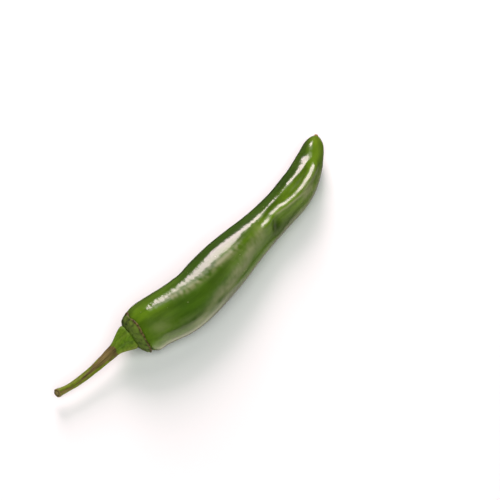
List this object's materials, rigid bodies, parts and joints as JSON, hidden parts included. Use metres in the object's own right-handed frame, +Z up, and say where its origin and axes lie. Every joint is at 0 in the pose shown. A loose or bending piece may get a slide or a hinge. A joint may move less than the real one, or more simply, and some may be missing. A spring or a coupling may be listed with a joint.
{
  "type": "chilli pepper",
  "caption": "Fresh green chilli pepper lying on its side: a long, glossy, slightly hooked pod with its calyx and a cut stalk.",
  "frame": {"origin": "on the surface that the pepper lies on, under the middle of its bounding box", "axes": "+X from the stalk's cut end towards the pod's tip, +Z up, +Y to the side that the tip hooks towards"},
  "size_m": [0.1245, 0.0207, 0.0171],
  "materials": {
    "pod_skin": "smooth waxy skin, glossy, dark green turning paler towards the tip",
    "calyx_green": "dull crinkled green with a thin brown corky rim",
    "stalk_green": "ridged fibrous stem, green going brown, satin"
  },
  "bodies": {
    "root": {"pod": "pod_skin", "calyx": "calyx_green", "stalk": "stalk_green"}
  },
  "joints": []
}
